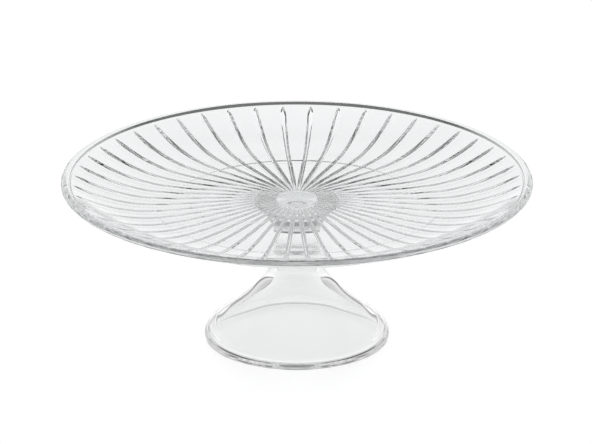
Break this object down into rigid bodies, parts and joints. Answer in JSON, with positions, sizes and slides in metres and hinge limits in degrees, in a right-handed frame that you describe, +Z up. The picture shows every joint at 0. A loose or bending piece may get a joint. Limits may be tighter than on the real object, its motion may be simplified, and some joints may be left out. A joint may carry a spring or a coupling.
{
  "type": "footed cake stand",
  "caption": "Footed cake stand in clear pressed glass: shallow round plate with radial flutes in its upper face and a beaded rim, on a hollow bell foot.",
  "frame": {"origin": "bottom centre: where the stand's axis meets the surface that the foot stands on", "axes": "+Z up along the stand's axis of revolution; X and Y are equal by symmetry"},
  "size_m": [0.32, 0.32, 0.1155],
  "materials": {
    "plate_glass": "clear fire-polished pressed glass",
    "clear_adhesive": "clear cured adhesive",
    "foot_glass": "clear fire-polished pressed glass"
  },
  "bodies": {
    "root": {"plate": "plate_glass", "bond": "clear_adhesive", "foot": "foot_glass"}
  },
  "joints": []
}
